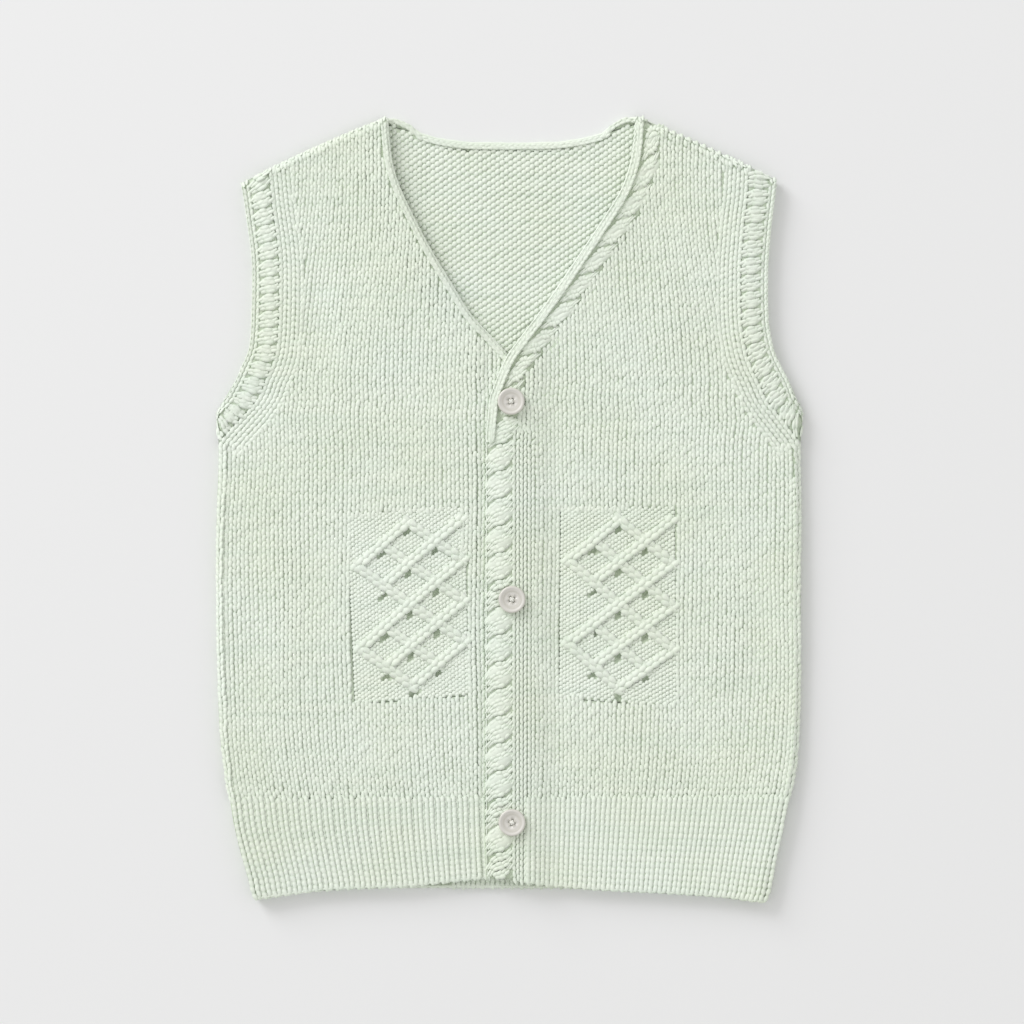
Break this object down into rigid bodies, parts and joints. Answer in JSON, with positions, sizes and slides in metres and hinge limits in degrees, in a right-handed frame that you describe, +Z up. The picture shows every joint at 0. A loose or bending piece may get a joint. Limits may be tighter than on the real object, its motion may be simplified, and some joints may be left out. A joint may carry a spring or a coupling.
{
  "type": "knitted baby vest",
  "caption": "Sleeveless knitted button-front baby vest with a V neck, ribbed hem, rope-like edgings and lattice-cable panels, laid flat.",
  "frame": {"origin": "centre of the bounding box's bottom face, on the surface that the vest lies on", "axes": "+Z up out of the front of the vest, +Y towards the neck, +X towards the wearer's left side"},
  "size_m": [0.2633, 0.3529, 0.0098],
  "materials": {
    "knit_body": "mint green cotton-wool yarn in plain stockinette, matt with a soft nap",
    "knit_rib": "the same mint yarn in 1x1 rib, matt",
    "knit_edging": "the same mint yarn in twisted edging and rolled rim, matt",
    "knit_lattice": "the same mint yarn in reverse stockinette with raised cables, matt",
    "pearl_button": "pearly white polyester, softly glossy"
  },
  "bodies": {
    "root": {"back": "knit_body", "right_front": "knit_body", "left_front": "knit_body", "back_hem": "knit_rib", "right_front_hem": "knit_rib", "left_front_hem": "knit_rib", "right_lattice_panel": "knit_lattice", "left_lattice_panel": "knit_lattice", "right_neck_edging": "knit_edging", "left_front_edging": "knit_edging", "back_neck_edging": "knit_edging", "right_armhole_edging_front": "knit_edging", "right_armhole_edging_back": "knit_edging", "left_armhole_edging_front": "knit_edging", "left_armhole_edging_back": "knit_edging", "button_top": "pearl_button", "button_middle": "pearl_button", "button_bottom": "pearl_button"}
  },
  "joints": []
}
